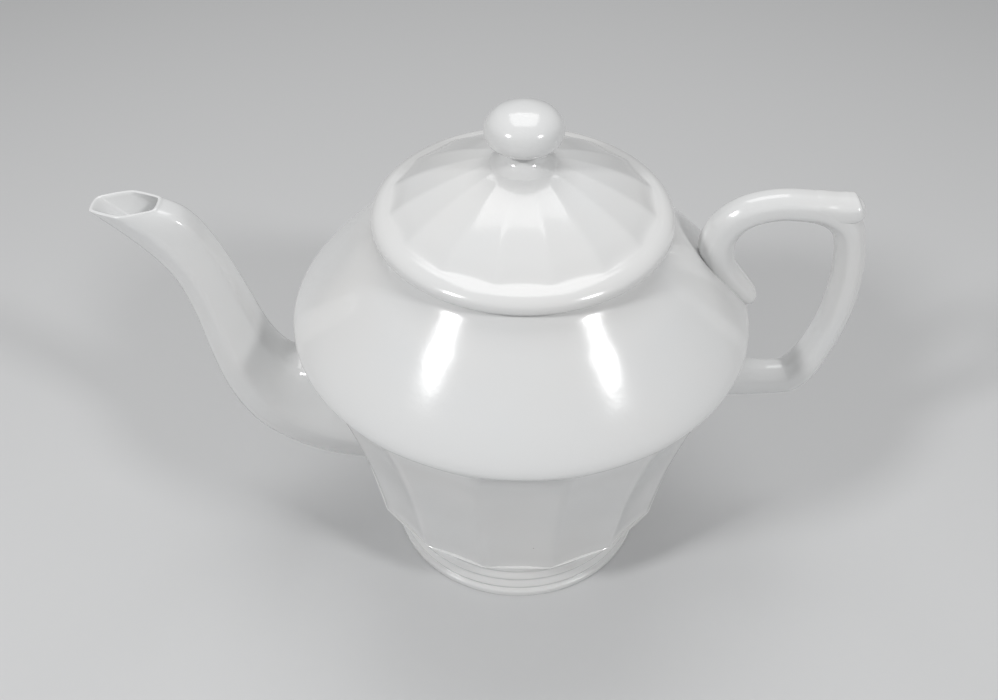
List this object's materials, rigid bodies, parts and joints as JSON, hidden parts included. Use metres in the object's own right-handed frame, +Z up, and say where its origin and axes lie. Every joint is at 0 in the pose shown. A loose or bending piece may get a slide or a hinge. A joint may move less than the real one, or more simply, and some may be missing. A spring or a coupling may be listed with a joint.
{
  "type": "teapot",
  "caption": "Lobed white porcelain teapot with panelled lower walls, a ringed foot, a faceted spout, a scroll handle and a lift-off lid.",
  "frame": {"origin": "centre of the bounding box, on the surface that the foot stands on", "axes": "+Z up, spout towards -X, handle towards +X"},
  "size_m": [0.2004, 0.1234, 0.1462],
  "materials": {
    "glaze": "gloss",
    "bare_rim": "matte"
  },
  "bodies": {
    "root": {"pot_body": "glaze", "foot_ring": "glaze", "spout": "glaze", "handle": "glaze"},
    "lid": {"lid_shell": "glaze", "lid_flange": "bare_rim", "lid_knob": "glaze"}
  },
  "joints": [
    {"name": "lid_lift", "type": "slide", "parent": "root", "child": "lid", "axis": [0, 0, 1], "range_m": [0, 0.06]}
  ]
}
